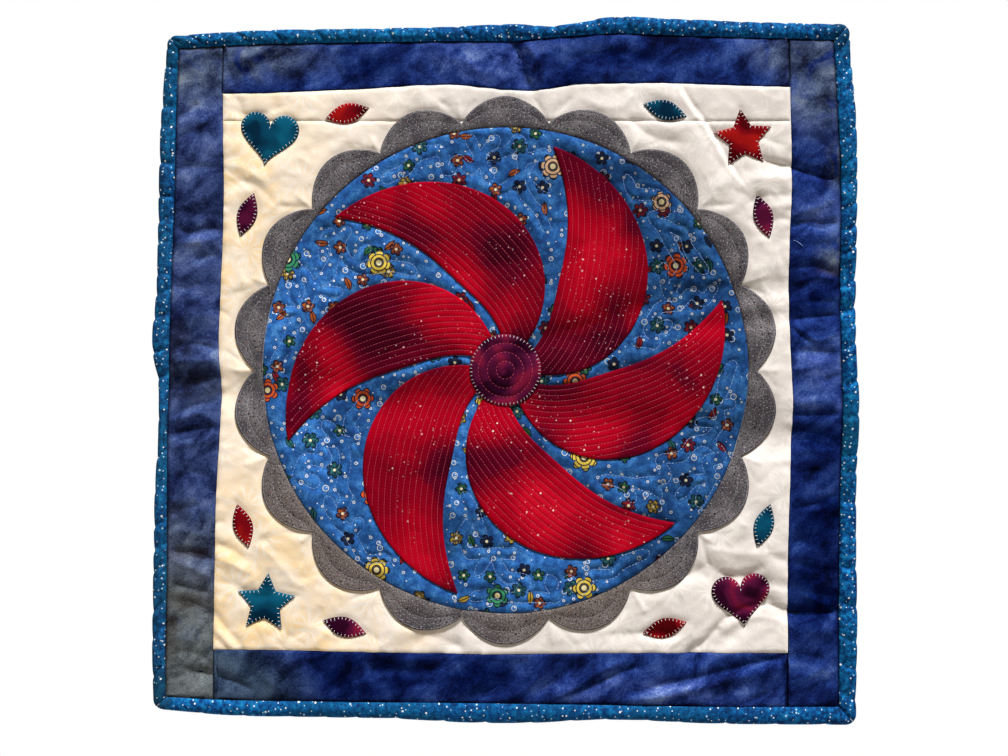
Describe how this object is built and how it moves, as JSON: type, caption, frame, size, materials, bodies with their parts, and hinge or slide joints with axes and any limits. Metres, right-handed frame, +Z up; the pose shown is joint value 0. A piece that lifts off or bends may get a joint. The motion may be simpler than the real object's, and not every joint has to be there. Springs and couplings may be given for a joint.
{
  "type": "quilted wall hanging",
  "caption": "Square quilted wall hanging: cream pieced panel with a whirligig medallion in appliqué, dark borders and a folded dotted binding.",
  "frame": {"origin": "the middle of the top edge, on the plane of the wall behind it", "axes": "+Z up, +X to the right as seen from the front, the front faces -Y and the wall is at Y = 0"},
  "size_m": [0.5312, 0.0134, 0.5318],
  "materials": {
    "cream_cotton": "undyed tone-on-tone cotton, quilted",
    "border_cotton": "marbled indigo batik cotton, quilted",
    "binding_cotton": "mottled teal-blue cotton with fine dots",
    "print_cotton": "printed cotton, free-motion quilted",
    "crimson_cotton": "hand-dyed batik cotton, echo quilted",
    "grey_cotton": "speckled cotton",
    "teal_cotton": "batik cotton",
    "red_cotton": "batik cotton",
    "plum_cotton": "batik cotton"
  },
  "bodies": {
    "root": {"ground_upper": "cream_cotton", "ground_lower": "cream_cotton", "border_left": "border_cotton", "binding_left": "binding_cotton", "border_right": "border_cotton", "binding_right": "binding_cotton", "border_top": "border_cotton", "binding_top": "binding_cotton", "border_bottom": "border_cotton", "binding_bottom": "binding_cotton", "disc": "print_cotton", "scallop_ring": "grey_cotton", "blade_1": "crimson_cotton", "blade_2": "crimson_cotton", "blade_3": "crimson_cotton", "blade_4": "crimson_cotton", "blade_5": "crimson_cotton", "blade_6": "crimson_cotton", "hub": "plum_cotton", "heart_top_left": "teal_cotton", "star_top_right": "red_cotton", "star_bottom_left": "teal_cotton", "heart_bottom_right": "plum_cotton", "leaf_1": "plum_cotton", "leaf_2": "red_cotton", "leaf_3": "teal_cotton", "leaf_4": "plum_cotton", "leaf_5": "teal_cotton", "leaf_6": "red_cotton", "leaf_7": "plum_cotton", "leaf_8": "red_cotton"}
  },
  "joints": []
}
